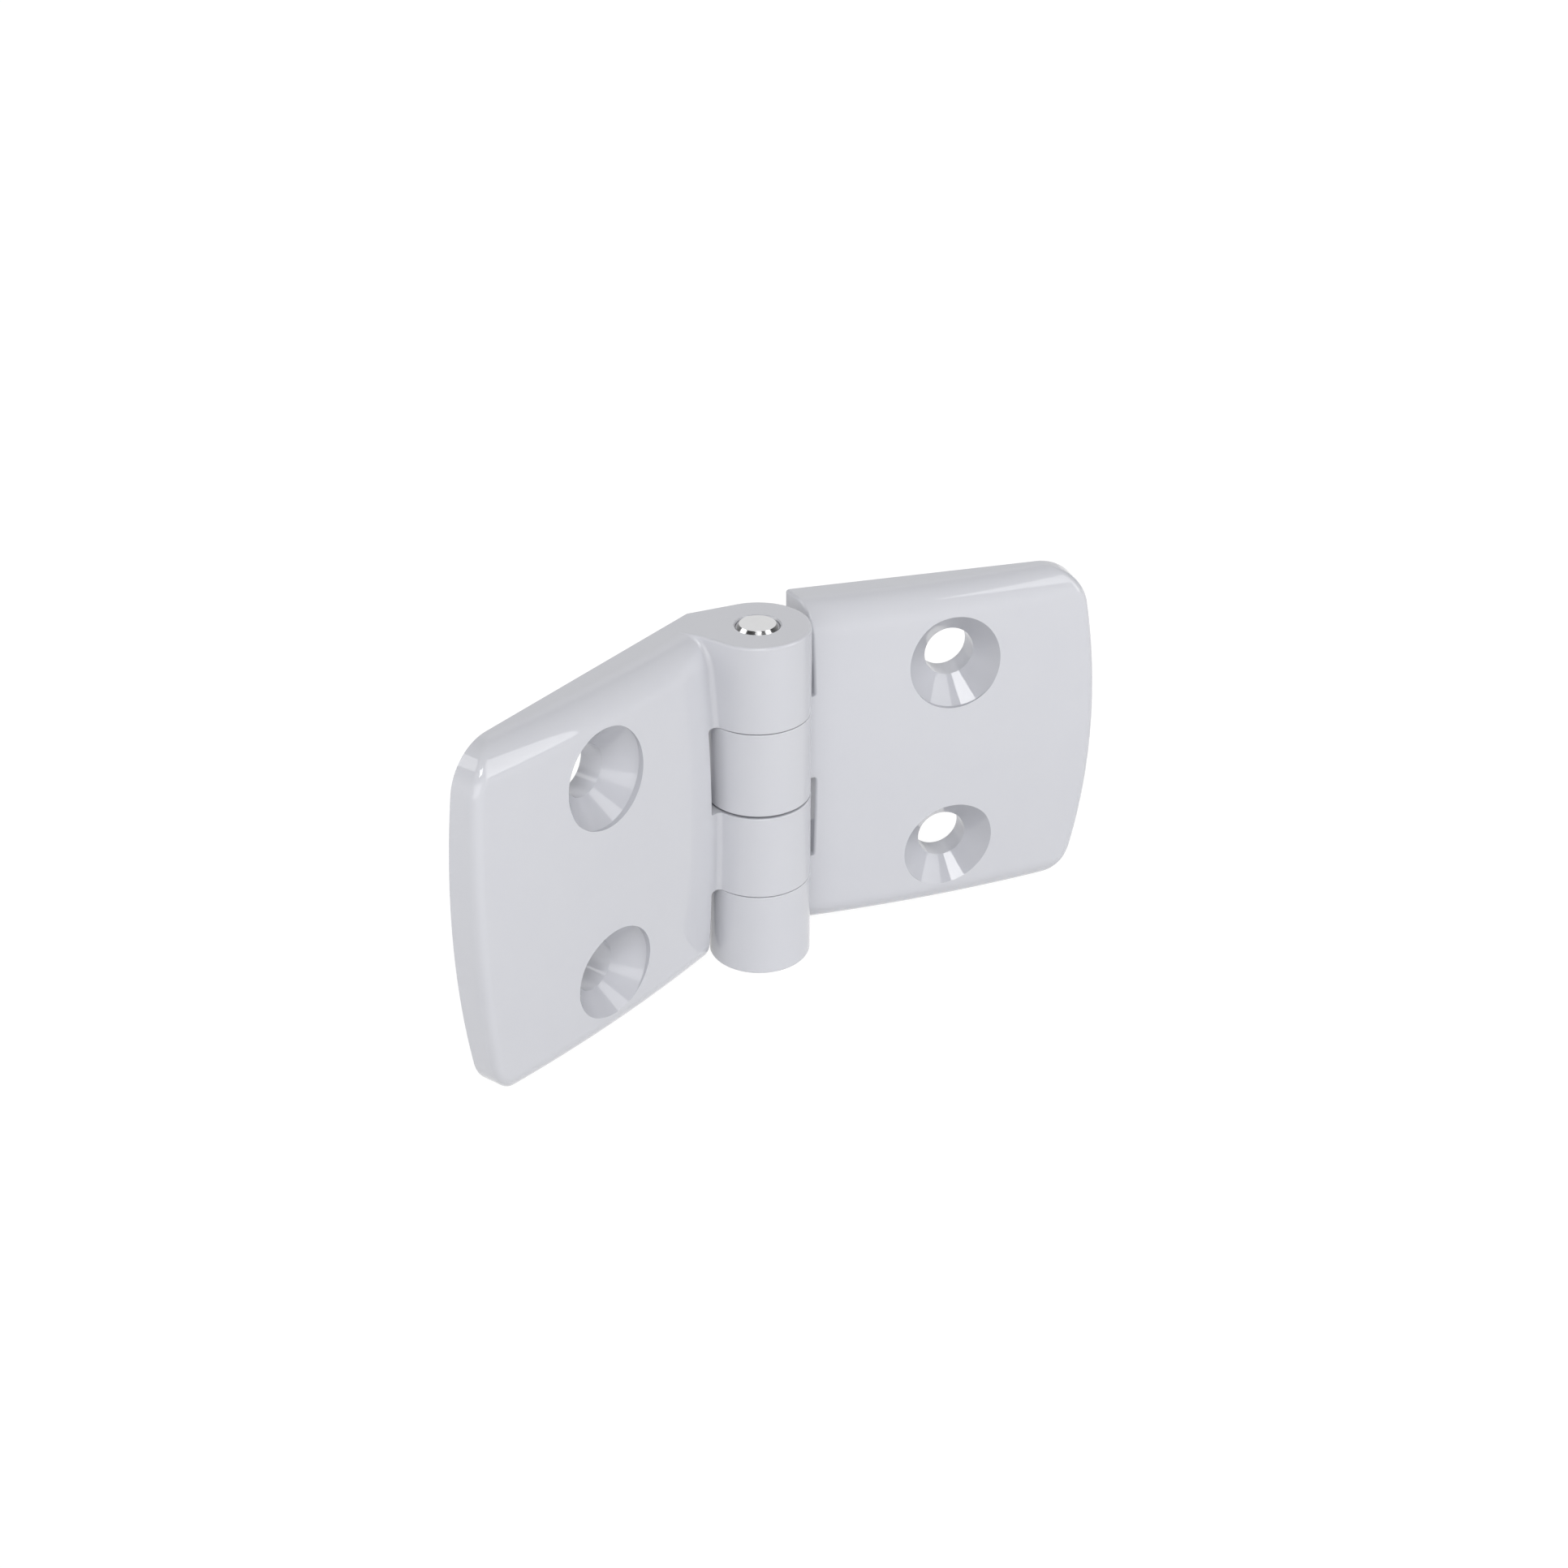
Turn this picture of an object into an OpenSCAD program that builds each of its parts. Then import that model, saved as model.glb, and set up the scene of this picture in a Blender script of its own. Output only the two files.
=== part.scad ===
// Combination hinge: two equal cast leaves that turn on one plain pin, for flat-head screws.
// The origin is the middle of the right leaf's two screw holes, on its back plane. The pin runs
// along Z, the right leaf reaches towards positive X and its front looks towards negative Y.

/* [Hinge] */

// Height of the leaves and of the barrel, along the pin.
hinge_h = 51.4; // [50:0.1:62]
// Angle between the two leaf fronts as the hinge is drawn; flat open is 180.
open_angle = 140; // [30:1:180]

/* [Leaf body] */

// Reach of a leaf from the pin's axis to the middle of its outer end.
leaf_reach = 51.8; // [46:0.1:62]
// Distance from the pin's axis back to the plane that the leaves are screwed to.
back_depth = 9.75; // [9:0.05:11.5]
// Radius of the ball shape that the leaf front is part of.
front_r = 225; // [180:1:400]
// Distance from the pin's axis to the crown of the leaf front, along the leaf.
crown_x = 12; // [9:0.5:20]
// How far the crown of the leaf front stays behind the pin's axis.
crown_drop = 1.45; // [0.8:0.05:2.5]
// Radius of the round along the upper and lower front edges.
edge_r = 4.6; // [2.5:0.1:5.5]
// Radius of the bow of the outer end.
bow_r = 113; // [70:1:300]
// Radius of the two outer corners.
corner_r = 7; // [4:0.1:9]
// Radius of the round between the outer end and the front.
end_edge_r = 1.5; // [0.8:0.1:2]

/* [Knuckles] */

// Diameter of the barrel.
barrel_d = 14.5; // [13.5:0.1:16]
// Gap beside the upper and lower parting planes of the barrel.
knuckle_gap = 0.12; // [0.1:0.01:0.3]
// Gap at the middle parting plane of the barrel.
middle_gap = 0.4; // [0.2:0.05:0.8]
// Radius of the round on the barrel's end rims.
rim_r = 0.35; // [0.2:0.05:0.6]
// Room between the other leaf's knuckles and the slanted face of the slot that they turn in.
knuckle_room = 1.55; // [1.3:0.05:2.4]
// Slant of that face, away from square to the leaf.
slot_slant = 14.4; // [5:0.1:18]
// Radius of the round on that face's front edge.
slot_edge_r = 0.45; // [0.3:0.05:0.6]
// Radius of the round in the slot's inner corners.
slot_corner_r = 0.4; // [0.2:0.05:0.6]
// Radius of the hollow fillet between knuckle and leaf front.
neck_r = 1.3; // [0.8:0.1:1.8]
// Distance from the pin's axis to the rear corner of the knuckle, along the leaf.
heel_x = 2.1; // [1:0.1:3]

/* [Pin] */

// Diameter of the pin.
pin_d = 6; // [5:0.1:7]
// Running clearance between pin and bore, on the radius.
pin_clear = 0.05; // [0.02:0.01:0.1]
// Size of the bevel on both pin ends.
pin_bevel = 0.5; // [0.3:0.05:0.8]
// How far the pin's upper end stands out of the barrel.
pin_stand = 0.2; // [0.1:0.05:0.4]
// How far the pin's lower end stays inside the barrel.
pin_sink = 0.25; // [0.1:0.05:0.5]
// Size of the bevel on the bore's outer mouths.
bore_bevel = 0.2; // [0.1:0.05:0.4]

/* [Screw holes] */

// Distance from the pin's axis to the screw holes, along the leaf.
hole_x = 29.4; // [26:0.1:36]
// Distance between the two screw holes of a leaf.
hole_pitch = 30; // [26:0.1:34]
// Diameter of the screw holes.
hole_d = 7.2; // [6.4:0.1:7.6]
// Diameter of the recess for the screw head.
head_d = 14; // [12:0.1:14.6]
// Length of the plain hole between back plane and countersink.
hole_land = 3.5; // [2.5:0.1:4]

/* [Hidden] */

// Quarter and half turn.
quarter = 90;
half_turn = 180;
// Margin by which a cutting body passes the face it leaves, the bite of a round past tangency,
// and how far the web faces start inside the barrel.
over = 1;
bite = 0.004;
web_inset = 0.02;

barrel_r = barrel_d / 2;
pin_r = pin_d / 2;
bore_r = pin_r + pin_clear;
hole_r = hole_d / 2;
head_r = head_d / 2;
half_h = hinge_h / 2;

// The centre of the front's ball, and the polar angle at which the edge rounds begin.
ball_y = -crown_drop - front_r;
edge_z = half_h - edge_r;
edge_turn = asin(edge_z / (front_r - edge_r));

// The middle of the outer end's round, seen from the ball's centre, and the lean of the bow's axis.
end_x = leaf_reach - end_edge_r - crown_x;
end_y = sqrt(pow(front_r - end_edge_r, 2) - pow(end_x, 2));
bow_lean = atan2(bow_r - end_edge_r - end_x, end_y);

// Where the knuckle's back face leaves the barrel, as a polar angle.
heel_d = sqrt(pow(heel_x, 2) + pow(back_depth, 2));
web_r = barrel_r - web_inset;
heel_turn = -atan2(back_depth, heel_x) - acos(web_r / heel_d);

// Where the plate begins, inside the knuckles.
plate_x = barrel_r - 2 * over;

// Distance from the pin's axis to the slot's slanted face, and the ball's centre as seen from it.
slot_face_d = barrel_r + knuckle_room;
slant_x = crown_x * cos(slot_slant) - ball_y * sin(slot_slant);
slant_y = crown_x * sin(slot_slant) + ball_y * cos(slot_slant);

// The heights of the leaf's own knuckles: the upper one and the one below the middle.
upper_low = hinge_h * 3 / 4 + knuckle_gap / 2;
lower_low = hinge_h / 4 + knuckle_gap / 2;
lower_top = (hinge_h - middle_gap) / 2;

leaf_grey = [0.80, 0.80, 0.82];
pin_grey = [0.75, 0.75, 0.76];

$fn = 60;
ball_fn = 720;

// The corner between two faces with a disc taken out of it: from the disc's middle, two arms at
// the given polar angles reach past both faces.
module corner_less_disc(radius, from_turn, to_turn) {
  arm = 3 * radius;
  middle_turn = (from_turn + to_turn) / 2;
  difference() {
    polygon([[0, 0], [arm * cos(from_turn), arm * sin(from_turn)],
             [arm * cos(middle_turn), arm * sin(middle_turn)],
             [arm * cos(to_turn), arm * sin(to_turn)]]);
    circle(r = radius + bite);
  }
}

// The leaf's plate: a ball-shaped front, cut off by the back plane and the bowed outer end.
module plate() {
  bow_x = leaf_reach - bow_r;
  intersection() {
    translate([crown_x, ball_y, half_h])
      sphere(r = front_r, $fn = ball_fn);
    translate([bow_x, 0, half_h])
      rotate([quarter, 0, 0])
        linear_extrude(height = back_depth)
          intersection() {
            circle(r = bow_r, $fn = ball_fn);
            translate([plate_x - bow_x, -half_h])
              square([leaf_reach, hinge_h]);
          }
  }
}

// Rounds off the two outer corners.
module corner_rounds() {
  bow_x = leaf_reach - bow_r;
  corner_y = half_h - corner_r;
  corner_x = sqrt(pow(bow_r - corner_r, 2) - pow(corner_y, 2));
  for (side = [-1, 1])
    translate([bow_x, over, half_h])
      rotate([quarter, 0, 0])
        linear_extrude(height = back_depth + 2 * over)
          translate([corner_x, side * corner_y])
            corner_less_disc(corner_r, side * atan2(corner_y, corner_x), side * quarter);
}

// Rounds off the upper and lower front edges.
module edge_rounds() {
  round_x = (front_r - edge_r) * cos(edge_turn);
  turn_from = acos((leaf_reach - crown_x + over) / round_x);
  turn_to = acos(-crown_x / round_x);
  for (side = [-1, 1])
    translate([crown_x, ball_y, half_h])
      rotate([0, 0, turn_from])
        rotate_extrude(angle = turn_to - turn_from, $fn = ball_fn)
          translate([round_x, side * edge_z])
            corner_less_disc(edge_r, side * edge_turn, side * quarter);
}

// Takes off the edge between the outer end and the front.
module end_round() {
  middle_x = end_x * cos(bow_lean) + end_y * sin(bow_lean);
  middle_y = end_y * cos(bow_lean) - end_x * sin(bow_lean);
  spread = asin((half_h + over) / middle_x);
  translate([crown_x, ball_y, half_h])
    rotate([0, 0, bow_lean])
      rotate([-quarter, 0, 0])
        rotate([0, 0, -spread])
          rotate_extrude(angle = 2 * spread, $fn = ball_fn)
            translate([middle_x, middle_y])
              rotate([0, 0, -bow_lean])
                corner_less_disc(end_edge_r, 0, atan2(end_y, end_x));
}

// A block that holds all of the leaf's front and knuckles between two heights.
module height_slice(low, high) {
  translate([0, -back_depth, low])
    cube([leaf_reach, 2 * back_depth, high - low]);
}

// Clears the room for one of the other leaf's knuckles between two heights, up to the slanted
// face, with a round in its two inner corners.
module slot(low, high) {
  reach = 2 * back_depth;
  corner = high - low - 2 * slot_corner_r;
  rotate([0, 0, -slot_slant])
    translate([slot_face_d - slot_corner_r, back_depth, low + slot_corner_r])
      rotate([quarter, 0, 0])
        linear_extrude(height = 2 * reach)
          difference() {
            translate([-reach, -slot_corner_r])
              square([reach + slot_corner_r, high - low]);
            corner_less_disc(slot_corner_r, 0, -quarter);
            translate([0, corner])
              corner_less_disc(slot_corner_r, 0, quarter);
          }
}

// Rounds off the front edge of the slanted face between two heights.
module slot_round(low, high) {
  round_x = slot_face_d + slot_edge_r - slant_x;
  round_y = sqrt(pow(front_r - slot_edge_r, 2) - pow(round_x, 2));
  spread = asin((half_h + over) / round_y);
  intersection() {
    height_slice(low + slot_corner_r, high - slot_corner_r);
    rotate([0, 0, -slot_slant])
      translate([slant_x, slant_y, half_h])
        rotate([0, quarter, 0])
          rotate([0, 0, quarter - spread])
            rotate_extrude(angle = 2 * spread, $fn = ball_fn)
              translate([round_y, round_x])
                corner_less_disc(slot_edge_r, -quarter, atan2(round_x, round_y));
  }
}

// The barrel with its web down to the back plane, over the whole height.
module barrel() {
  cylinder(r = barrel_r, h = hinge_h);
  linear_extrude(height = hinge_h)
    polygon([[0, 0], [web_r, 0], [web_r, -back_depth], [heel_x, -back_depth],
             [web_r * cos(heel_turn), web_r * sin(heel_turn)]]);
}

// The hollow fillet between the barrel and the ball-shaped front.
module neck() {
  round_x = barrel_r + neck_r - crown_x;
  round_y = sqrt(pow(front_r + neck_r, 2) - pow(round_x, 2));
  translate([crown_x, ball_y, half_h])
    rotate([0, quarter, 0])
      rotate([0, 0, quarter - edge_turn])
        rotate_extrude(angle = 2 * edge_turn, $fn = ball_fn)
          translate([round_y, round_x])
            corner_less_disc(neck_r, -quarter, atan2(round_x, round_y) - half_turn);
}

// The same fillet on over the round of the upper front edge.
module upper_neck() {
  round_x = barrel_r + neck_r - crown_x;
  round_y = sqrt(pow(front_r + neck_r, 2) - pow(round_x, 2));
  middle = round_y - edge_r - neck_r;
  intersection() {
    height_slice(upper_low, hinge_h);
    translate([crown_x, ball_y + middle * cos(edge_turn), half_h + middle * sin(edge_turn)])
      rotate([0, quarter, 0])
        rotate([0, 0, quarter + edge_turn])
          rotate_extrude(angle = quarter)
            translate([edge_r + neck_r, round_x])
              corner_less_disc(neck_r, -quarter, atan2(round_x, round_y) - half_turn);
  }
}

// Rounds off the rim of the barrel's outer end.
module rim_round() {
  lap = acos(web_r / barrel_r);
  translate([0, 0, hinge_h - rim_r])
    rotate([0, 0, -lap])
      rotate_extrude(angle = 2 * half_turn + heel_turn + 2 * lap)
        translate([barrel_r - rim_r, 0])
          corner_less_disc(rim_r, 0, quarter);
}

// The bore for the pin, bevelled at its outer mouth.
module bore() {
  translate([0, 0, -over])
    cylinder(r = bore_r, h = hinge_h + 2 * over);
  translate([0, 0, hinge_h - bore_bevel])
    cylinder(r1 = bore_r, r2 = bore_r + bore_bevel + over, h = bore_bevel + over);
}

// One screw hole with its countersink and recess, along the leaf's depth.
module screw_hole() {
  cone_h = head_r - hole_r;
  rotate([-quarter, 0, 0])
    translate([0, 0, -back_depth]) {
      translate([0, 0, -over])
        cylinder(r = hole_r, h = hole_land + 2 * over);
      translate([0, 0, hole_land])
        cylinder(r1 = hole_r, r2 = head_r, h = cone_h);
      translate([0, 0, hole_land + cone_h])
        cylinder(r = head_r, h = back_depth);
    }
}

// The plate with all its outer rounds.
module rounded_plate() {
  difference() {
    difference() {
      difference() {
        plate();
        corner_rounds();
      }
      end_round();
    }
    edge_rounds();
  }
}

// The casting before its holes, front towards positive Y: two knuckles stay of the barrel, one
// at the top and one below the middle.
module casting() {
  difference() {
    difference() {
      union() {
        rounded_plate();
        barrel();
        neck();
        upper_neck();
      }
      slot(-over, lower_low);
      slot(lower_top, upper_low);
    }
    slot_round(-over, lower_low);
    slot_round(lower_top, upper_low);
  }
}

// A whole leaf.
module leaf() {
  difference() {
    casting();
    bore();
    rim_round();
    for (side = [-1, 1])
      translate([hole_x, 0, half_h + side * hole_pitch / 2])
        screw_hole();
  }
}

// Moves what is drawn about the pin's foot to the part's origin.
module from_pin() {
  translate([-hole_x, -back_depth, -half_h])
    children();
}

module left_leaf() {
  color(leaf_grey)
    from_pin()
      rotate([0, 0, 2 * half_turn - open_angle])
        leaf();
}

module right_leaf() {
  color(leaf_grey)
    from_pin()
      translate([0, 0, hinge_h])
        rotate([half_turn, 0, 0])
          leaf();
}

module hinge_pin() {
  color(pin_grey)
    from_pin()
      rotate_extrude()
        polygon([[0, pin_sink], [pin_r - pin_bevel, pin_sink], [pin_r, pin_sink + pin_bevel],
                 [pin_r, hinge_h + pin_stand - pin_bevel], [pin_r - pin_bevel, hinge_h + pin_stand],
                 [0, hinge_h + pin_stand]]);
}

left_leaf();
right_leaf();
hinge_pin();
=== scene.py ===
from math import acos, asin, atan2, cos, degrees, hypot, pi, radians, sin, sqrt, tan

import bmesh
import bpy
from mathutils import Euler, Matrix, Vector


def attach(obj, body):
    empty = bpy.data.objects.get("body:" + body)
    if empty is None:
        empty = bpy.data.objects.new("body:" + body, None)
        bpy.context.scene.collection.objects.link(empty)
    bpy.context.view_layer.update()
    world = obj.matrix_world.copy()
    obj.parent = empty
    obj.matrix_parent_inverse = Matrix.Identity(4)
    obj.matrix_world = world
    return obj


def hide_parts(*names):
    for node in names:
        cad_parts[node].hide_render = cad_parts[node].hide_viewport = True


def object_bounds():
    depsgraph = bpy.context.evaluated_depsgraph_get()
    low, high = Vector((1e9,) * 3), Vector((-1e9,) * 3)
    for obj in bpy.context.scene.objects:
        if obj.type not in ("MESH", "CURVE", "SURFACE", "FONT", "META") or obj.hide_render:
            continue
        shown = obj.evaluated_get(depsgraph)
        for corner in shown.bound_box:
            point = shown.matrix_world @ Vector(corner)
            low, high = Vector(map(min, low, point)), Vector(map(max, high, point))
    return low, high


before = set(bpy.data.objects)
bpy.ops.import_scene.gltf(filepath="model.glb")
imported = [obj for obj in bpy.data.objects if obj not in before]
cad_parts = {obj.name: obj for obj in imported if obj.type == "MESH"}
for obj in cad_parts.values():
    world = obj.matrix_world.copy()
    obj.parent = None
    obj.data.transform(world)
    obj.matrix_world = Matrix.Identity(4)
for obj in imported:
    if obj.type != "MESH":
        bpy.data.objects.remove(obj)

CAD_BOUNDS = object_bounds()

# The two leaves: zinc die castings out of one mould, each a plate with two of the four knuckles,
# powder coated and screwed down through two countersunk holes. The right leaf is the left one
# turned over, so the casting is drawn once, in millimetres, and set up twice.

# In the drawing the pin's axis is Z and the leaf's foot is at 0. The leaf reaches from the pin
# towards positive X, and its front looks towards positive Y.
X, Y, Z = Vector((1, 0, 0)), Vector((0, 1, 0)), Vector((0, 0, 1))
LEAF_H = 51.4
HALF_H = LEAF_H / 2
LEAF_REACH = 51.8
BACK_Y = -9.75

# The plate's front is part of a ball whose middle lies far behind it. Towards the top and the foot
# the front runs into long rounds. Front and rounds are turned about the ball's upright axis.
FRONT_R = 225.0
CROWN_X = 12.0
CROWN_Y = -1.45
BALL = Vector((CROWN_X, CROWN_Y - FRONT_R, HALF_H))
EDGE_ROUND = 4.6
edge_z = HALF_H - EDGE_ROUND
edge_turn = degrees(asin(edge_z / (FRONT_R - EDGE_ROUND)))
edge_far = (FRONT_R - EDGE_ROUND) * cos(radians(edge_turn))
# the plate is turned this deep behind its front, in fine steps, from past its end to the pin
PLATE_DEEP = 30
PLATE_TURN = (77, 93)
FINE_STEP = 0.25
# how many straight stretches stand for a long round, and for the front between the two
ROUND_STEPS = 20
FRONT_STEPS = 44


def solid(name, points, faces):
    """A closed body. Each face is a list of pairs: a point's number and the true normal there."""
    mesh = bpy.data.meshes.new(name)
    mesh.from_pydata(points, [], [[number for number, normal in face] for face in faces])
    normals = mesh.attributes.new("true_normal", "FLOAT_VECTOR", "CORNER")
    normals.data.foreach_set("vector", [c for face in faces for number, normal in face for c in normal])
    body = bpy.data.objects.new(name, mesh)
    bpy.context.scene.collection.objects.link(body)
    return body


def straight(*corners):
    """Straight stretches of an outline that runs counterclockwise: ends and outward normals."""
    stretches = []
    for start, end in zip(corners, corners[1:]):
        ahead = (Vector(end) - Vector(start)).normalized()
        out = Vector((ahead.y, -ahead.x))
        stretches.append((Vector(start), Vector(end), out, out))
    return stretches


def closed(*corners):
    """Straight stretches from corner to corner, and back to the first one."""
    return straight(*corners, corners[0])


def arc(middle, radius, start, end, steps):
    """A round stretch of an outline. A clockwise one is hollow, and its normals look inwards."""
    side = 1 if end > start else -1
    turns = [radians(start + (end - start) * k / steps) for k in range(steps + 1)]
    spokes = [Vector((cos(t), sin(t))) for t in turns]
    return [(Vector(middle) + radius * a, Vector(middle) + radius * b, side * a, side * b)
            for a, b in zip(spokes, spokes[1:])]


def sweep(name, outline, places, endless):
    """A body between copies of one outline, set up at each of the places, which are matrices."""
    points = [place @ Vector((start.x, start.y, 0)) for place in places for start, end, n, m in outline]
    turns = [place.to_3x3() for place in places]
    count = len(outline)
    faces = []
    for k in range(len(places) if endless else len(places) - 1):
        j = (k + 1) % len(places)
        for i, (start, end, start_normal, end_normal) in enumerate(outline):
            h = (i + 1) % count
            n = Vector((start_normal.x, start_normal.y, 0))
            m = Vector((end_normal.x, end_normal.y, 0))
            faces.append([(k * count + i, turns[k] @ n), (k * count + h, turns[k] @ m),
                          (j * count + h, turns[j] @ m), (j * count + i, turns[j] @ n)])
    if not endless:
        last = (len(places) - 1) * count
        faces.append([(i, -turns[0].col[2]) for i in reversed(range(count))])
        faces.append([(last + i, turns[-1].col[2]) for i in range(count)])
    return solid(name, points, faces)


def turned(name, outline, axis, start=0.0, end=360.0, step=1.5):
    """A body turned about the Z axis of a matrix. The outline's x leads away from that axis."""
    endless = end - start >= 360
    steps = max(2, round((end - start) / step))
    angles = [radians(start + (end - start) * k / steps) for k in range(steps if endless else steps + 1)]
    # stands the outline up, so that its x leads away from the axis and its y along it
    upright = Matrix(((1, 0, 0, 0), (0, 0, -1, 0), (0, 1, 0, 0), (0, 0, 0, 1)))
    places = [axis @ Matrix.Rotation(a, 4, "Z") @ upright for a in reversed(angles)]
    return sweep(name, outline, places, endless)


def plate():
    deep = FRONT_R - PLATE_DEEP
    outline = (straight((deep, 0), (edge_far, 0))
               + arc((edge_far, EDGE_ROUND), EDGE_ROUND, -90, -edge_turn, ROUND_STEPS)
               + arc((0, HALF_H), FRONT_R, -edge_turn, edge_turn, FRONT_STEPS)
               + arc((edge_far, LEAF_H - EDGE_ROUND), EDGE_ROUND, edge_turn, 90, ROUND_STEPS)
               + straight((edge_far, LEAF_H), (deep, LEAF_H), (deep, 0)))
    return turned("plate", outline, Matrix.Translation((BALL.x, BALL.y, 0)), *PLATE_TURN, FINE_STEP)


# The outer end is a shallow bow between two corners. The plate starts inside the barrel.
BOW_R = 113.0
CORNER_R = 7.0
BOW_STEPS = 48
CORNER_STEPS = 36
bow_x = LEAF_REACH - BOW_R
corner_z = HALF_H - CORNER_R
corner_x = bow_x + sqrt((BOW_R - CORNER_R) ** 2 - corner_z ** 2)
corner_turn = degrees(atan2(corner_z, corner_x - bow_x))
PLATE_START = 5.25
# how far large and small cutters stand out past what they cut, and how far off the pin they start
PAST = 5
SMALL_PAST = 1
FAR = 20


def drawn_out(name, outline, place, length):
    return sweep(name, outline, [place, place @ Matrix.Translation((0, 0, length))], False)


def along(origin, x, y):
    """The matrix of a place with its origin and the directions of its X and Y axes."""
    z = Vector(x).cross(Vector(y))
    return Matrix.Translation(origin) @ Matrix((x, y, z)).transposed().to_4x4()


def plate_end():
    """What is kept of the plate: all that lies inside the bow and its corners, before the back."""
    outline = (straight((corner_x, LEAF_H), (corner_x, LEAF_H + PAST), (PLATE_START, LEAF_H + PAST),
                        (PLATE_START, -PAST), (corner_x, -PAST), (corner_x, 0))
               + arc((corner_x, CORNER_R), CORNER_R, -90, -corner_turn, CORNER_STEPS)
               + arc((bow_x, HALF_H), BOW_R, -corner_turn, corner_turn, BOW_STEPS)
               + arc((corner_x, LEAF_H - CORNER_R), CORNER_R, corner_turn, 90, CORNER_STEPS))
    return drawn_out("plate_end", outline, along((0, FAR, 0), X, Z), FAR - BACK_Y)


# A small round runs along the front edge of the outer end and round its corners, and dies out in
# the long rounds. It is cut with a bead, a bar whose hollow side has the shape of the round.
END_ROUND = 1.5
# degrees round each corner at which the round has died out, and the steps that lead there
END_TURN = 87.5
END_STEPS = 40
BEAD_STEPS = 8
BEAD_REACH = 0.8
BEAD_BACK = 1.5
BITE = 0.002


def bead(name, places):
    """Cuts a round along an edge. A place gives the middle of the round, the directions out of it
    square to the edge's two faces, and its radius. The bead bites a little deeper than that."""
    points = []
    for middle, first, last, radius in places:
        turn = first.angle(last)
        side = (last - first * first.dot(last)).normalized()
        for k in range(BEAD_STEPS + 1):
            t = turn * k / BEAD_STEPS
            points.append(middle + (radius + BITE) * (first * cos(t) + side * sin(t)))
        arm = radius + BEAD_REACH
        points.append(middle + arm * last)
        points.append(middle + arm * BEAD_BACK * (first + last).normalized())
        points.append(middle + arm * first)
    count = BEAD_STEPS + 4
    faces = []
    for k in range(len(places) - 1):
        for i in range(count):
            j = (i + 1) % count
            corners = ((k, i), (k, j), (k + 1, j), (k + 1, i))
            faces.append([(row * count + col, (points[row * count + col] - places[row][0]).normalized())
                          for row, col in corners])
    last_row = (len(places) - 1) * count
    faces.append([(i, Z) for i in reversed(range(count))])
    faces.append([(last_row + i, Z) for i in range(count)])
    body = solid(name, points, faces)
    # places may run either way along an edge, and the bar has to look outwards for both
    probe = bmesh.new()
    probe.from_mesh(body.data)
    if probe.calc_volume(signed=True) < 0:
        body.data.flip_normals()
    probe.free()
    return body


def on_ball(x, z, inset=0.0):
    """The point at x and z of the ball's front, or of a ball that is smaller by the inset."""
    dx, dz = x - BALL.x, z - BALL.z
    return Vector((x, BALL.y + sqrt((FRONT_R - inset) ** 2 - dx * dx - dz * dz), z))


def along_turn(start, end, steps):
    """Angles from a start up to the one before the end."""
    return [start + (end - start) * k / steps for k in range(steps)]


def end_round():
    inner = CORNER_R - END_ROUND
    spots = [(corner_x, CORNER_R, inner, t) for t in along_turn(-END_TURN, -corner_turn, END_STEPS)]
    spots += [(bow_x, HALF_H, BOW_R - END_ROUND, t)
              for t in along_turn(-corner_turn, corner_turn, BOW_STEPS)]
    spots += [(corner_x, LEAF_H - CORNER_R, inner, t)
              for t in along_turn(corner_turn, END_TURN, END_STEPS) + [END_TURN]]
    places = []
    for x, z, far, t in spots:
        wall = Vector((cos(radians(t)), 0, sin(radians(t))))
        x, z = x + far * wall.x, z + far * wall.z
        rise = z - HALF_H
        if abs(rise) < (FRONT_R - END_ROUND) * sin(radians(edge_turn)):
            middle = on_ball(x, z, END_ROUND)
            front = (middle - BALL).normalized()
        else:
            # here the bead lies in the long round, and its middle on a smaller ring inside that
            small = EDGE_ROUND - END_ROUND
            lift = rise - edge_z if rise > 0 else rise + edge_z
            out = sqrt(small ** 2 - lift ** 2)
            middle = Vector((x, BALL.y + sqrt((edge_far + out) ** 2 - (x - BALL.x) ** 2), z))
            spoke = Vector((middle.x - BALL.x, middle.y - BALL.y, 0)).normalized()
            front = (spoke * out + Z * lift) / small
        places.append((middle, wall, front, END_ROUND))
    return bead("end_round", places)


# The knuckles start as one barrel over the whole height. A web joins it to the back plane. On its
# free side the web is straight, from the heel at the back up to where it touches the barrel.
BARREL_R = 7.25
HEEL_X = 2.1
web_r = BARREL_R - BITE
heel_turn = -degrees(atan2(-BACK_Y, HEEL_X)) - degrees(acos(web_r / hypot(HEEL_X, BACK_Y)))


def barrel():
    outline = closed((0, 0), (BARREL_R, 0), (BARREL_R, LEAF_H), (0, LEAF_H))
    return turned("barrel", outline, Matrix(), step=1)


def web():
    a = radians(heel_turn)
    outline = closed((0, 0), (web_r * cos(a), web_r * sin(a)), (HEEL_X, BACK_Y), (web_r, BACK_Y), (web_r, 0))
    return drawn_out("web", outline, Matrix(), LEAF_H)


# Hollow necks join the barrel to the plate: one along the ball-shaped front, one round the upper
# long round. Both are turned about axes that run in the leaf's direction, away from the pin.
NECK_R = 0.7
NECK_ARM = 3 * NECK_R
HOLLOW_STEPS = 12
neck_out = BARREL_R + NECK_R - CROWN_X
neck_up = sqrt((FRONT_R + NECK_R) ** 2 - neck_out ** 2)
neck_turn = degrees(atan2(neck_out, neck_up))


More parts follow.
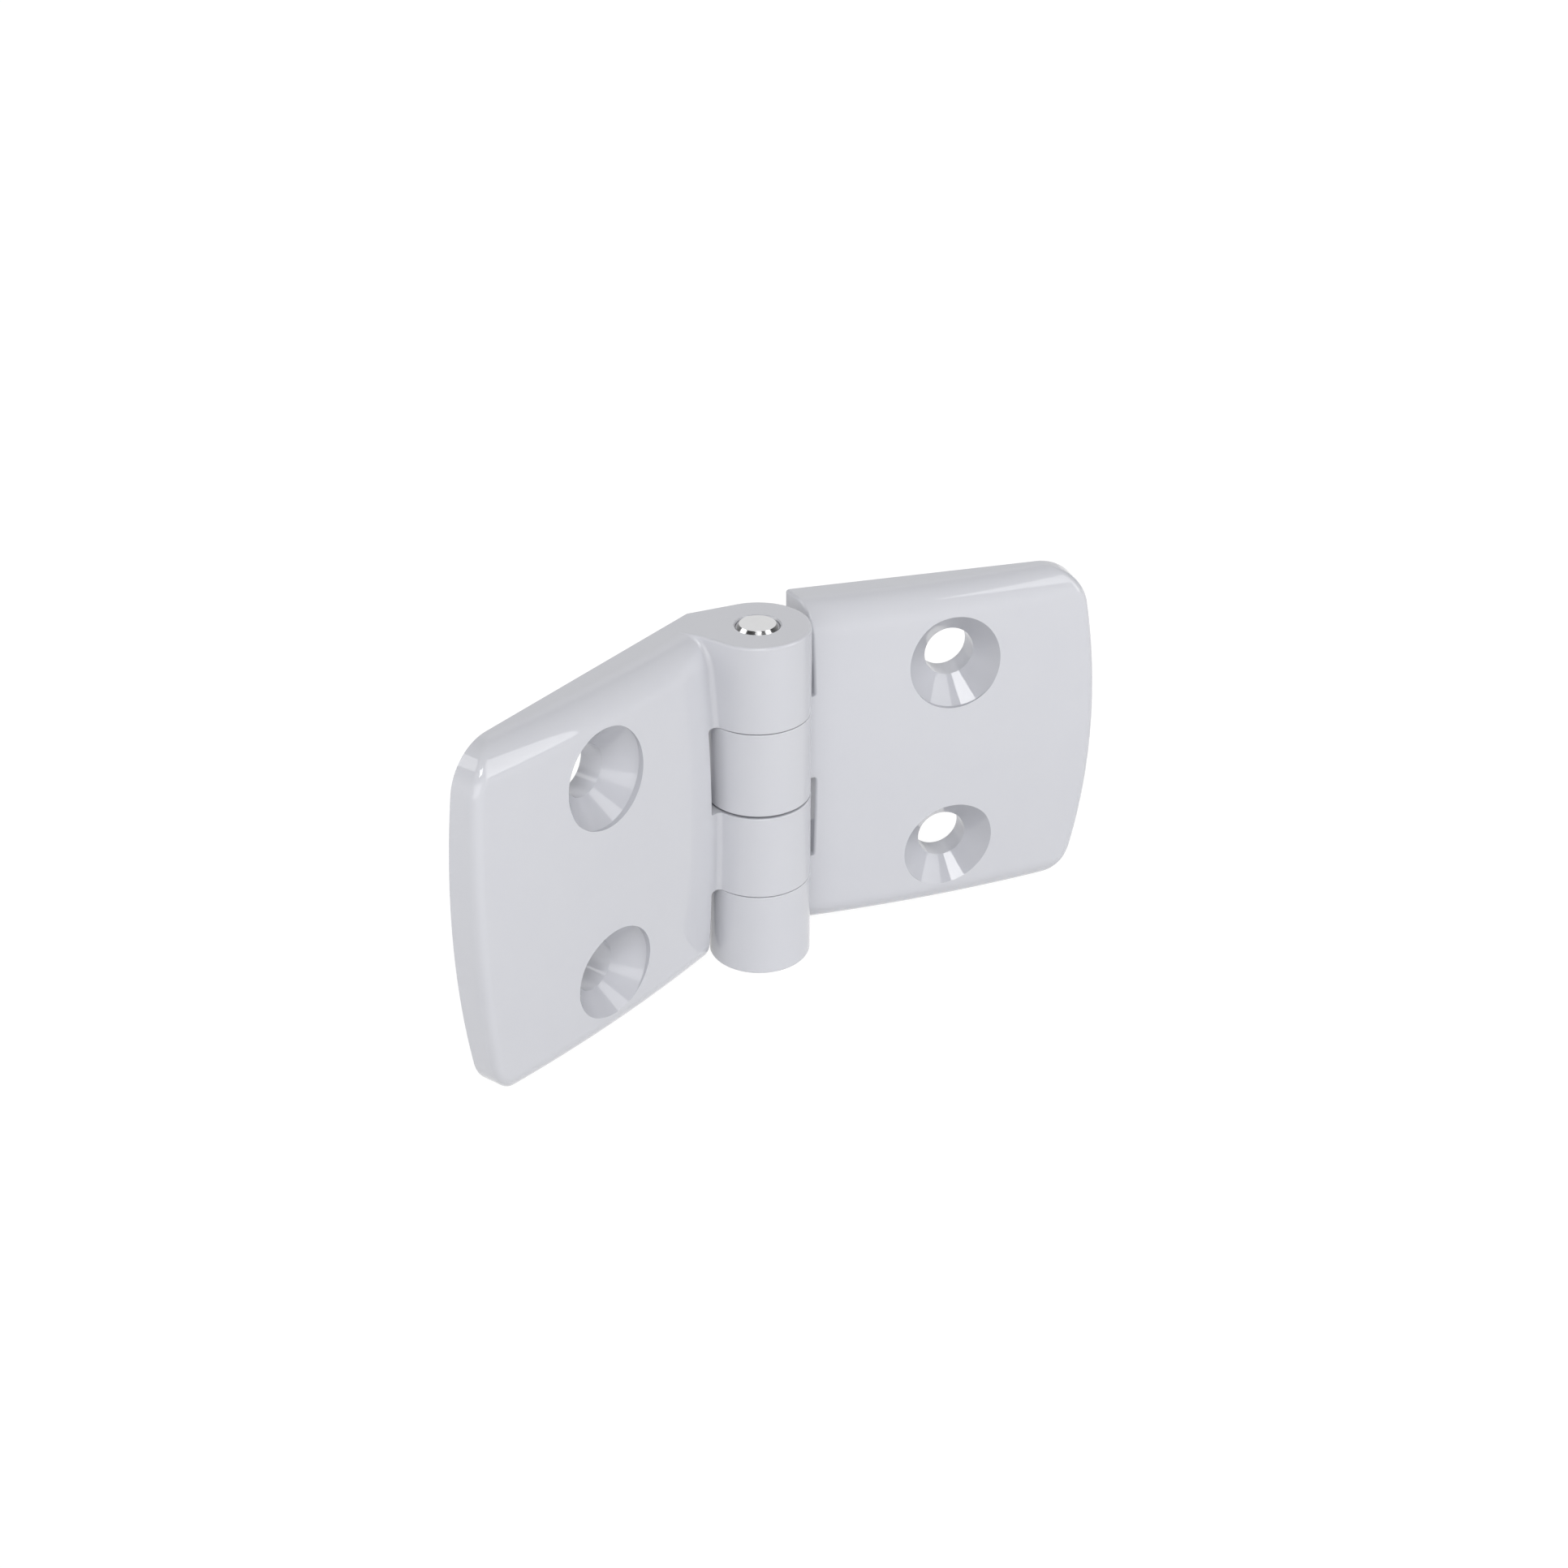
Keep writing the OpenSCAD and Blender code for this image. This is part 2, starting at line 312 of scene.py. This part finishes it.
def neck_outline(away):
    """Fills the corner between front and barrel up to the hollow round, away from the neck's axis."""
    start, end = neck_turn - 180, -90
    radius = NECK_R + BITE
    m = radians(start + end) / 2
    outer = NECK_ARM * Vector((cos(m), sin(m)))
    first, last = (Vector((cos(radians(t)), sin(radians(t)))) for t in (start, end))
    outline = (arc((0, 0), radius, end, start, HOLLOW_STEPS)
               + straight(first * radius, first * NECK_ARM, outer, last * NECK_ARM, last * radius))
    shift = Vector((away, neck_out))
    return [(a + shift, b + shift, n, m) for a, b, n, m in outline]


def neck():
    return turned("neck", neck_outline(neck_up), along(BALL, Y, Z), -edge_turn, edge_turn, FINE_STEP)


def upper_neck():
    middle = neck_up - EDGE_ROUND - NECK_R
    t = radians(edge_turn)
    place = Matrix.Translation((BALL.x, BALL.y + middle * cos(t), BALL.z + middle * sin(t)))
    return turned("upper_neck", neck_outline(EDGE_ROUND + NECK_R), place @ along((0, 0, 0), Y, Z),
                  edge_turn, 90 + edge_turn, step=3)


# Two slots take the other leaf's knuckles. They leave two knuckles of the barrel, with a small gap
# beside each, and they end at a slanted face in the plate.
KNUCKLE_GAP = 0.12
MIDDLE_GAP = 0.4
upper_low = LEAF_H * 3 / 4 + KNUCKLE_GAP / 2
lower_top = (LEAF_H - MIDDLE_GAP) / 2
lower_low = LEAF_H / 4 + KNUCKLE_GAP / 2
SLANT = radians(14.4)
SLOT_FACE = 8.8
SLOT_CORNER = 0.4
SLOT_CORNER_STEPS = 8
SLOT_DEEP = 30
along_face = Vector((sin(SLANT), cos(SLANT), 0))
off_face = Vector((cos(SLANT), -sin(SLANT), 0))


def slot(low, high, open_foot):
    """Cuts from the slanted face across the barrel. Its corners are rounded, except at the foot."""
    left, inner, r = SLOT_FACE - SLOT_DEEP, SLOT_FACE - SLOT_CORNER, SLOT_CORNER
    if open_foot:
        foot = straight((left, low), (SLOT_FACE, low), (SLOT_FACE, high - r))
    else:
        foot = (straight((left, low), (inner, low))
                + arc((inner, low + r), r, -90, 0, SLOT_CORNER_STEPS)
                + straight((SLOT_FACE, low + r), (SLOT_FACE, high - r)))
    outline = (foot + arc((inner, high - r), r, 0, 90, SLOT_CORNER_STEPS)
               + straight((inner, high), (left, high), (left, low)))
    return drawn_out("slot", outline, along(SLOT_DEEP * along_face, off_face, Z), 2 * SLOT_DEEP)


# A small round softens each slot's front edge. It follows the slanted face, fades out round the
# corners, and at the foot it runs through the long round and down to the back.
SLOT_ROUND = 0.45
SLOT_FADE = 0.85
# the bead's steps round a corner, along the face, up behind the foot and through the long round
FADE_STEPS = 12
FACE_STEPS = 16
BACK_STEPS = 5
FOOT_STEPS = 24
# how far below the long round the straight way up behind the foot ends
SHORT = 0.01
ball_out = BALL.dot(off_face)
ball_up = BALL.dot(along_face)


def at_face(out, up, z):
    """The point that lies this far from the pin's axis, square to the slanted face and along it."""
    return out * off_face + up * along_face + z * Z


def front_place(out, z, radius, toward):
    """A place of the bead where it runs under the ball-shaped front."""
    up = ball_up + sqrt((FRONT_R - radius) ** 2 - (out - ball_out) ** 2 - (z - HALF_H) ** 2)
    middle = at_face(out, up, z)
    return (middle, toward, (middle - BALL).normalized(), radius)


def slot_corner_places(z, side):
    """The places round a slot's corner, from the slanted face on."""
    places = []
    for k in range(FADE_STEPS + 1):
        t = radians(90 * k / FADE_STEPS)
        radius = SLOT_ROUND * (1 - SLOT_FADE * k / FADE_STEPS)
        spoke = off_face * cos(t) + side * Z * sin(t)
        out = SLOT_FACE - SLOT_CORNER + (SLOT_CORNER + radius) * cos(t)
        high = z - side * SLOT_CORNER + side * (SLOT_CORNER + radius) * sin(t)
        places.append(front_place(out, high, radius, -spoke))
    return places


def slot_foot_places(out):
    """The places at the foot: up from behind the back, then through the long round."""
    places = []
    low = BACK_Y - SMALL_PAST
    high = ball_up + sqrt(edge_far ** 2 - (out - ball_out) ** 2) - SHORT
    for k in range(BACK_STEPS + 1):
        middle = at_face(out, low + k / BACK_STEPS * (high - low), SLOT_ROUND)
        places.append((middle, -off_face, -Z, SLOT_ROUND))
    for k in range(1, FOOT_STEPS):
        t = radians(90 - (90 - edge_turn) * k / FOOT_STEPS)
        far = edge_far + (EDGE_ROUND - SLOT_ROUND) * cos(t)
        z = EDGE_ROUND - (EDGE_ROUND - SLOT_ROUND) * sin(t)
        middle = at_face(out, ball_up + sqrt(far ** 2 - (out - ball_out) ** 2), z)
        spoke = Vector((middle.x - BALL.x, middle.y - BALL.y, 0)).normalized()
        places.append((middle, -off_face, spoke * cos(t) - Z * sin(t), SLOT_ROUND))
    return places


def slot_round(low, high, open_foot):
    out = SLOT_FACE + SLOT_ROUND
    if open_foot:
        foot = slot_foot_places(out)
        start = EDGE_ROUND - (EDGE_ROUND - SLOT_ROUND) * sin(radians(edge_turn))
    else:
        foot = slot_corner_places(low, -1)[:0:-1]
        start = low + SLOT_CORNER
    levels = [start + (high - SLOT_CORNER - start) * k / FACE_STEPS for k in range(FACE_STEPS)]
    middle = [front_place(out, z, SLOT_ROUND, -off_face) for z in levels]
    return bead("slot_round", foot + middle + slot_corner_places(high, 1))


# Each knuckle's rims are rounded, the uppermost one most. Its round also runs along the neck and
# gets finer there. The rims beside the gaps get finer where the knuckle runs into the plate.
TOP_RIM = 0.4
MIDDLE_RIM = 0.15
GAP_RIM = 0.12
# the bead's steps up the web and round the barrel, and where it starts, as a share of the web
WEB_STEPS = 4
RIM_STEPS = 150
WEB_FROM = 1.1
# a rim beside a gap has this share of its radius at the plate, and gains a whole one in so many
# degrees, but never goes past it
RIM_FADE_FROM = 0.15
RIM_FADE_TURN = 12
# the bead's steps to the neck and round its hollow, how far it bends there, and how much it fades
TOP_STEPS = 5
NECK_STEPS = 24
NECK_BEND = 84
NECK_FADE = 0.6


def rim(z, side, radius, upper):
    """The round of a knuckle's end at z that looks up (side 1) or down (side -1)."""
    inner, level = BARREL_R - radius, z - side * radius
    a = radians(heel_turn)
    heel_out = Vector((cos(a), sin(a), 0))
    down = Vector((HEEL_X - web_r * cos(a), BACK_Y - web_r * sin(a), 0))
    start = inner * heel_out + level * Z
    # up the web's straight side, from just behind the heel, and then round the barrel
    places = [(start + down * WEB_FROM * (1 - k / WEB_STEPS), heel_out, side * Z, radius)
              for k in range(WEB_STEPS)]
    for k in range(RIM_STEPS + 1):
        t = radians((360 + heel_turn) * (1 - k / RIM_STEPS))
        out = Vector((cos(t), sin(t), 0))
        r = radius * (1 if upper else min(1, RIM_FADE_FROM + degrees(t) / RIM_FADE_TURN))
        places.append(((BARREL_R - r) * out + (z - side * r) * Z, out, side * Z, r))
    if upper:
        places += neck_rim_places(inner, level, z, radius)
    return bead("rim", places)


def neck_rim_places(inner, level, z, radius):
    """The uppermost rim from the barrel on: straight to the neck, then round its hollow."""
    t = radians(edge_turn)
    middle = neck_up - EDGE_ROUND - NECK_R
    hub_y, hub_z = BALL.y + middle * cos(t), BALL.z + middle * sin(t)
    tube_x, far = BARREL_R + NECK_R, EDGE_ROUND + NECK_R
    top_y = hub_y + sqrt(far ** 2 - (level - hub_z) ** 2)
    places = [(Vector((inner, top_y * k / TOP_STEPS, level)), X, Z, radius) for k in range(1, TOP_STEPS)]
    for k in range(NECK_STEPS + 1):
        share = k / NECK_STEPS
        r = radius * (1 - NECK_FADE * share ** 3)
        high = z - r
        bend = radians(180 + NECK_BEND * share)
        q = max(far + (NECK_R + r) * sin(bend), high - hub_z + BITE)
        x = tube_x - sqrt(max(0, (NECK_R + r) ** 2 - (q - far) ** 2))
        centre = Vector((x, hub_y + sqrt(max(0, q ** 2 - (high - hub_z) ** 2)), high))
        spoke = Vector((0, centre.y - hub_y, centre.z - hub_z)).normalized()
        spine = Vector((tube_x, hub_y, hub_z)) + far * spoke
        places.append((centre, (spine - centre).normalized(), Z, r))
    return places


# The bore for the pin has a small bevel at its upper mouth.
BORE_R = 3.05
BORE_BEVEL = 0.2


def bore():
    mouth = BORE_R + BORE_BEVEL + SMALL_PAST
    low, high = -SMALL_PAST, LEAF_H + SMALL_PAST
    outline = closed((0, low), (BORE_R, low), (BORE_R, LEAF_H - BORE_BEVEL), (mouth, high), (0, high))
    return turned("bore", outline, Matrix(), step=2)


# Two screw holes with 90 degree seats for flat heads, 3.5 mm of plain hole behind each seat.
HOLE_X = 29.4
HOLE_PITCH = 30.0
HOLE_R = 3.6
HEAD_R = 7.0
HOLE_LAND = 3.5
# the cutter's ends, behind the back and before the front
HOLE_ENDS = (BACK_Y - SMALL_PAST, 2)


def screw_hole(side):
    low, high = HOLE_ENDS
    seat_y = BACK_Y + HOLE_LAND
    outline = closed((0, low), (HOLE_R, low), (HOLE_R, seat_y), (HEAD_R, seat_y + HEAD_R - HOLE_R),
                     (HEAD_R, high), (0, high))
    place = along((HOLE_X, 0, HALF_H + side * HOLE_PITCH / 2), Z, X)
    return turned("screw_hole", outline, place, step=2)


def combine(body, how, tool):
    """Joins a tool to the body, cuts it away or keeps what both share. The tool is used up."""
    step = body.modifiers.new("step", "BOOLEAN")
    step.operation = how
    step.solver = "MANIFOLD"
    step.object = tool
    done = bpy.data.meshes.new_from_object(body.evaluated_get(bpy.context.evaluated_depsgraph_get()))
    body.modifiers.clear()
    old, body.data = body.data, done
    bpy.data.meshes.remove(old)
    bpy.data.meshes.remove(tool.data)


casting = plate()
combine(casting, "INTERSECT", plate_end())
combine(casting, "DIFFERENCE", end_round())
for part in (barrel(), web(), neck(), upper_neck()):
    combine(casting, "UNION", part)
# the necks stand out over the top face and are cut level with it
over_top = closed((-FAR, -FAR), (FAR, -FAR), (FAR, FAR), (-FAR, FAR))
combine(casting, "DIFFERENCE", drawn_out("over_top", over_top, Matrix.Translation((0, 0, LEAF_H)), PAST))
for low, high, open_foot in ((-PAST, lower_low, True), (lower_top, upper_low, False)):
    combine(casting, "DIFFERENCE", slot(low, high, open_foot))
    combine(casting, "DIFFERENCE", slot_round(low, high, open_foot))
rims = ((LEAF_H, 1, TOP_RIM), (upper_low, -1, GAP_RIM), (lower_top, 1, MIDDLE_RIM), (lower_low, -1, GAP_RIM))
for z, side, radius in rims:
    combine(casting, "DIFFERENCE", rim(z, side, radius, z == LEAF_H))
combine(casting, "DIFFERENCE", bore())
for side in (-1, 1):
    combine(casting, "DIFFERENCE", screw_hole(side))


def linear(code):
    """An sRGB hex code as linear red, green, blue and alpha."""
    parts = [int(code[i:i + 2], 16) / 255 for i in (1, 3, 5)]
    return tuple(c / 12.92 if c <= 0.04045 else ((c + 0.055) / 1.055) ** 2.4 for c in parts) + (1.0,)


def add_node(owner, kind, settings=None, links=None):
    """A shader node with its settings and its inputs, each a value or another node's output."""
    node = owner.node_tree.nodes.new(kind)
    for name, value in (settings or {}).items():
        setattr(node, name, value)
    for socket, value in (links or {}).items():
        if isinstance(value, bpy.types.NodeSocket):
            owner.node_tree.links.new(value, node.inputs[socket])
        else:
            node.inputs[socket].default_value = value
    return node


def new_material(name):
    material = bpy.data.materials.new(name)
    material.use_nodes = True
    material.node_tree.nodes.clear()
    return material


# The coat is polyester powder, sprayed on the zinc and baked. It flows out to a smooth gloss, so
# that lamps are mirrored in it with nearly sharp edges, in a pale grey with a cold tint. Its tone
# wanders a little over some 6 mm, as the powder lies thicker and thinner.
MM = 0.001
COAT_PATCH = 6 * MM


def powder_coat(name, darker, lighter, roughness):
    material = new_material(name)
    place = add_node(material, "ShaderNodeTexCoord")
    patches = add_node(material, "ShaderNodeTexNoise", links={
        "Vector": place.outputs["Object"], "Scale": 1 / COAT_PATCH, "Detail": 3.0})
    tint = add_node(material, "ShaderNodeMix", {"data_type": "RGBA"}, {
        0: patches.outputs["Fac"], 6: linear(darker), 7: linear(lighter)})
    shader = add_node(material, "ShaderNodeBsdfPrincipled", links={
        "Base Color": tint.outputs[2], "Roughness": roughness, "IOR": 1.5})
    add_node(material, "ShaderNodeOutputMaterial", links={"Surface": shader.outputs["BSDF"]})
    return material


coat = powder_coat("powder_coated_zinc", "#C5C6CC", "#C8C9CE", 0.035)
# in the screw seats the coat is painted darker, as painted shade for the hollow seats, and is a little less
# smooth
seat_coat_with_painted_shade = powder_coat("zinc_coat_with_painted_seat_shade", "#B6B7BD", "#B9BAC0", 0.05)
# a face is on a seat when its middle lies this far inside the seat's borders
INSIDE = 0.01
# a normal is true when it looks along its face's own by at least this share
LEVEL = 0.2


def in_screw_seat(point):
    """Tells whether a point of the casting lies on the seat of one of its screw holes."""
    away = min(hypot(point.x - HOLE_X, point.z - HALF_H - side * HOLE_PITCH / 2) for side in (-1, 1))
    front_y = on_ball(point.x, point.z).y
    return HOLE_R + INSIDE < away < HEAD_R + BITE and BACK_Y + INSIDE < point.y < front_y - INSIDE


def finished(name, place):
    """A copy of the casting, coated, at its place in metres, with its true normals at every corner.
    Where a cut has left a normal that lies nearly flat on its face, the face's own is taken."""
    mesh = casting.data.copy()
    mesh.name = name
    mesh.materials.clear()
    mesh.materials.append(coat)
    mesh.materials.append(seat_coat_with_painted_shade)
    # faces on the screw seats get the coat with painted shade
    for face in mesh.polygons:
        face.material_index = int(in_screw_seat(face.center))
    mesh.transform(place)
    turn = place.to_3x3().normalized()
    kept = mesh.attributes["true_normal"].data
    normals = [None] * len(mesh.loops)
    for face in mesh.polygons:
        for loop in face.loop_indices:
            normal = (turn @ kept[loop].vector).normalized()
            side = normal.dot(face.normal)
            if abs(side) < LEVEL:
                normal = face.normal.copy()
                side = 1
            normals[loop] = normal if side >= 0 else -normal
    mesh.attributes.remove(mesh.attributes["true_normal"])
    mesh.shade_smooth()
    mesh.normals_split_custom_set(normals)
    piece = bpy.data.objects.new(name, mesh)
    bpy.context.scene.collection.objects.link(piece)
    return piece


# The leaves stand open at 140 degrees between their fronts. The row's origin lies between the
# right leaf's screw holes, on its back.
OPEN_ANGLE = 140
to_row = Matrix.Scale(MM, 4) @ Matrix.Translation((-HOLE_X, BACK_Y, -HALF_H))
left_place = to_row @ Matrix.Rotation(radians(360 - OPEN_ANGLE), 4, "Z")
right_place = to_row @ Matrix.Translation((0, 0, LEAF_H)) @ Matrix.Rotation(pi, 4, "X")
for name, place, body in (("left_leaf", left_place, "left_half"), ("right_leaf", right_place, "right_half")):
    piece = finished(name + "_casting", place)
    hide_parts(name)
    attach(piece, body)
bpy.data.objects.remove(casting)

# The pin: plain round bright steel, bevelled at both ends and pushed through all four knuckles.
# It is the CAD's own solid, and only its finish is made here.

# Bright drawn steel is a slightly hazy mirror in a neutral grey. Its drawing marks are too fine to
# show one by one, so they are drawn as patches of about 2 mm in which the tone wanders.
STEEL_PATCH = 2 * MM
steel = new_material("bright_steel")
place = add_node(steel, "ShaderNodeTexCoord")
patches = add_node(steel, "ShaderNodeTexNoise", links={
    "Vector": place.outputs["Object"], "Scale": 1 / STEEL_PATCH, "Detail": 3.0})
tint = add_node(steel, "ShaderNodeMix", {"data_type": "RGBA"}, {
    0: patches.outputs["Fac"], 6: linear("#D8D8D9"), 7: linear("#DEDEDF")})
shader = add_node(steel, "ShaderNodeBsdfPrincipled", links={
    "Base Color": tint.outputs[2], "Metallic": 1.0, "Roughness": 0.15})
add_node(steel, "ShaderNodeOutputMaterial", links={"Surface": shader.outputs["BSDF"]})
for material_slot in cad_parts["hinge_pin"].material_slots:
    material_slot.material = steel

# The floor: a wide sheet of white paper that the hinge stands on. Paper is matt and keeps the
# hinge's faint shadow. To the camera, to mirrors and through glass it is mostly plain white.
FLOOR_SIZE = 4.0
PAPER_GLOW = 1.12
PAPER_SHARE = 0.85
bpy.ops.mesh.primitive_plane_add(size=FLOOR_SIZE, location=(0, 0, CAD_BOUNDS[0][2]))
floor = bpy.context.object
floor.name = "floor"
paper = new_material("white_paper")
shade = add_node(paper, "ShaderNodeBsdfDiffuse", links={"Color": linear("#DCDCDC")})
glow = add_node(paper, "ShaderNodeEmission", links={"Color": (1, 1, 1, 1), "Strength": PAPER_GLOW})
ray = add_node(paper, "ShaderNodeLightPath")
seen = add_node(paper, "ShaderNodeMath", {"operation": "MAXIMUM"}, {
    0: ray.outputs["Is Camera Ray"], 1: ray.outputs["Is Glossy Ray"]})
seen = add_node(paper, "ShaderNodeMath", {"operation": "MAXIMUM"}, {
    0: seen.outputs[0], 1: ray.outputs["Is Transmission Ray"]})
share = add_node(paper, "ShaderNodeMath", {"operation": "MULTIPLY"}, {0: seen.outputs[0], 1: PAPER_SHARE})
mix = add_node(paper, "ShaderNodeMixShader", links={
    0: share.outputs[0], 1: shade.outputs[0], 2: glow.outputs[0]})
add_node(paper, "ShaderNodeOutputMaterial", links={"Surface": mix.outputs[0]})
floor.data.materials.append(paper)

# The studio: pale walls, brighter in front of the hinge than behind it, under a dark ceiling. A
# pale panel behind is mirrored in the pin's end and the top face. The camera sees only white.
FRONT_WALL = 1.0
BACK_WALL = 0.4
CEILING = 0.06
CEILING_FROM = 0.7
PANEL = 0.94
BACK_WAY = (0.243, 0.908, 0.342)
SMOOTH = {"interpolation_type": "SMOOTHSTEP"}
studio = bpy.data.worlds.new("studio")
studio.use_nodes = True
studio.node_tree.nodes.clear()
way = add_node(studio, "ShaderNodeTexCoord").outputs["Generated"]
height = add_node(studio, "ShaderNodeSeparateXYZ", links={0: way})
back = add_node(studio, "ShaderNodeVectorMath", {"operation": "DOT_PRODUCT"}, {0: way, 1: BACK_WAY})
walls = add_node(studio, "ShaderNodeMapRange", SMOOTH, {
    "Value": back.outputs["Value"], "From Min": -0.3, "From Max": 0.3,
    "To Min": FRONT_WALL, "To Max": BACK_WALL})
room = add_node(studio, "ShaderNodeMapRange", SMOOTH, {
    "Value": height.outputs["Z"], "From Min": 0.0, "From Max": CEILING_FROM,
    "To Min": walls.outputs[0], "To Max": CEILING})
panel = add_node(studio, "ShaderNodeMapRange", SMOOTH, {
    "Value": back.outputs["Value"], "From Min": 0.8, "From Max": 0.93, "To Min": 0.0, "To Max": PANEL})
room = add_node(studio, "ShaderNodeMath", {"operation": "MAXIMUM"}, {0: room.outputs[0], 1: panel.outputs[0]})
ray = add_node(studio, "ShaderNodeLightPath")
level = add_node(studio, "ShaderNodeMath", {"operation": "MAXIMUM"}, {
    0: room.outputs[0], 1: ray.outputs["Is Camera Ray"]})
sky = add_node(studio, "ShaderNodeBackground", links={"Color": (1, 1, 1, 1), "Strength": level.outputs[0]})
add_node(studio, "ShaderNodeOutputWorld", links={"Surface": sky.outputs[0]})
bpy.context.scene.world = studio

# The lamps: softboxes 4 m away. The key one is high in front, with a brighter tube along its
# middle, and draws the highlights on the rounds. A side one stands at the right, a rim one behind
# at the left, and wide weak ones fill in from the front and the left.
LAMP_FAR = 4.0
SOFTBOXES = (("key", -98.5, 53, 24, 18, 8.6), ("key_tube", -98.5, 53, 23, 6, 4.5),
             ("side", -30, 30, 25, 52, 2.8), ("rim", 158, 30, 24, 38, 2.6),
             ("fill", -107, 10, 56, 32, 1.72), ("left", -178, 10, 50, 20, 0.2))
for name, azimuth, elevation, width, height, radiance in SOFTBOXES:
    light = bpy.data.lights.new(name, "AREA")
    light.shape = "RECTANGLE"
    light.size = 2 * LAMP_FAR * tan(radians(width) / 2)
    light.size_y = 2 * LAMP_FAR * tan(radians(height) / 2)
    light.energy = radiance * pi * light.size * light.size_y
    a, e = radians(azimuth), radians(elevation)
    way = Vector((cos(e) * cos(a), cos(e) * sin(a), sin(e)))
    softbox = bpy.data.objects.new(name, light)
    softbox.location = LAMP_FAR * way
    softbox.rotation_euler = way.to_track_quat("Z", "Y").to_euler()
    bpy.context.scene.collection.objects.link(softbox)

# The camera stands in front at the left, above the hinge, and looks down at it by 30 degrees.
CAMERA_AT = Vector((-94.32, -263.34, 151.575))
CAMERA_DOWN = 29.87
CAMERA_TURN = -15.13
camera =bpy.data.objects.new("camera", bpy.data.cameras.new("camera"))
camera.data.lens = 50.0
camera.data.sensor_width = 36.0
camera.location = CAMERA_AT * MM
camera.rotation_euler = Euler((radians(90 - CAMERA_DOWN), 0, radians(CAMERA_TURN)), "XYZ")
bpy.context.scene.collection.objects.link(camera)
bpy.context.scene.camera = camera
bpy.context.scene.view_settings.view_transform = "Standard"
